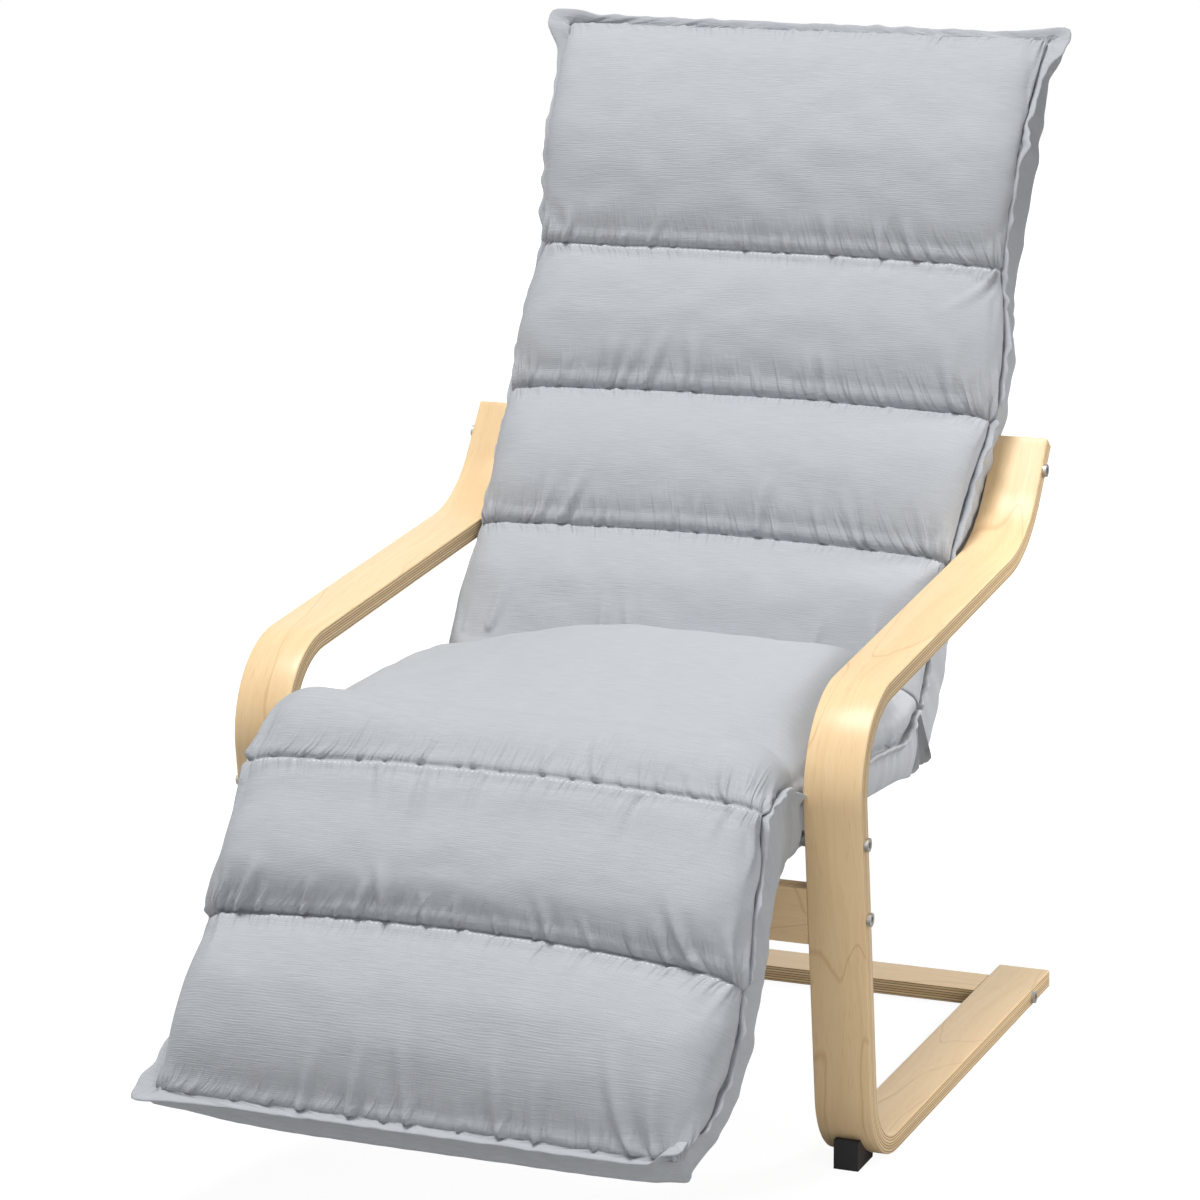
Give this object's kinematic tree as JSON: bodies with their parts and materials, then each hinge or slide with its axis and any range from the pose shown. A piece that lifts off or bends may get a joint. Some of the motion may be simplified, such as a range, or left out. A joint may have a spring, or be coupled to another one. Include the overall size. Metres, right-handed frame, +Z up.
{
  "type": "lounge chair",
  "caption": "Bentwood lounge chair with cantilever side frames, one long channelled cushion, a folding leg rest and a folding head rest",
  "frame": {"origin": "on the floor below the middle of the chair's length and width, leg rest and head rest included", "axes": "+X is the sitter's left, -Y is where the sitter looks, +Z is up"},
  "size_m": [0.688, 1.1764, 1.082],
  "materials": {
    "birch": "clear satin lacquer",
    "beech_dowel": "raw",
    "black_plastic": "moulded, matt",
    "grey_cloth": "fine ribbed weave",
    "webbing": "woven elastic webbing",
    "zinc": "bright zinc plated",
    "plated_steel": "zinc plated",
    "painted_tube": "black powder coat"
  },
  "bodies": {
    "frame": {"left_side_frame": "birch", "right_side_frame": "birch", "front_rail": "birch", "floor_rail": "birch", "left_front_foot": "black_plastic", "right_front_foot": "black_plastic", "foot_screws": "zinc", "rail_bolts": "zinc", "seat_frame_bolts": "zinc", "back_frame_bolts": "zinc", "rail_barrel_nuts": "zinc", "rail_dowels": "beech_dowel", "spacer_sleeves": "plated_steel", "threaded_bushes": "plated_steel", "left_frame_tube": "painted_tube", "right_frame_tube": "painted_tube", "seat_cross_tubes": "painted_tube", "back_cross_tubes": "painted_tube", "seat_straps": "webbing", "back_straps": "webbing", "seat_cushion": "grey_cloth", "back_cushion": "grey_cloth", "knee_ratchet_plates": "plated_steel", "knee_hinge_pins": "plated_steel", "head_ratchet_plates": "plated_steel", "head_hinge_pins": "plated_steel"},
    "leg_rest": {"leg_frame_tube": "painted_tube", "leg_cross_tube": "painted_tube", "leg_hinge_cheeks": "plated_steel", "leg_pawls": "plated_steel", "leg_pawl_springs": "plated_steel", "leg_hinge_rivets": "plated_steel", "leg_straps": "webbing", "leg_cushion": "grey_cloth"},
    "headrest": {"head_frame_tube": "painted_tube", "head_cross_tube": "painted_tube", "head_hinge_cheeks": "plated_steel", "head_pawls": "plated_steel", "head_pawl_springs": "plated_steel", "head_hinge_rivets": "plated_steel", "head_straps": "webbing", "head_cushion": "grey_cloth"}
  },
  "joints": [
    {"name": "leg_rest_hinge", "type": "hinge", "parent": "frame", "child": "leg_rest", "pos_m": [0, -0.32572, 0.35637], "axis": [-1, 0, 0], "range_deg": [-24, 60]},
    {"name": "headrest_hinge", "type": "hinge", "parent": "frame", "child": "headrest", "pos_m": [0, 0.47848, 0.85774], "axis": [1, 0, 0], "range_deg": [-6, 35]}
  ]
}
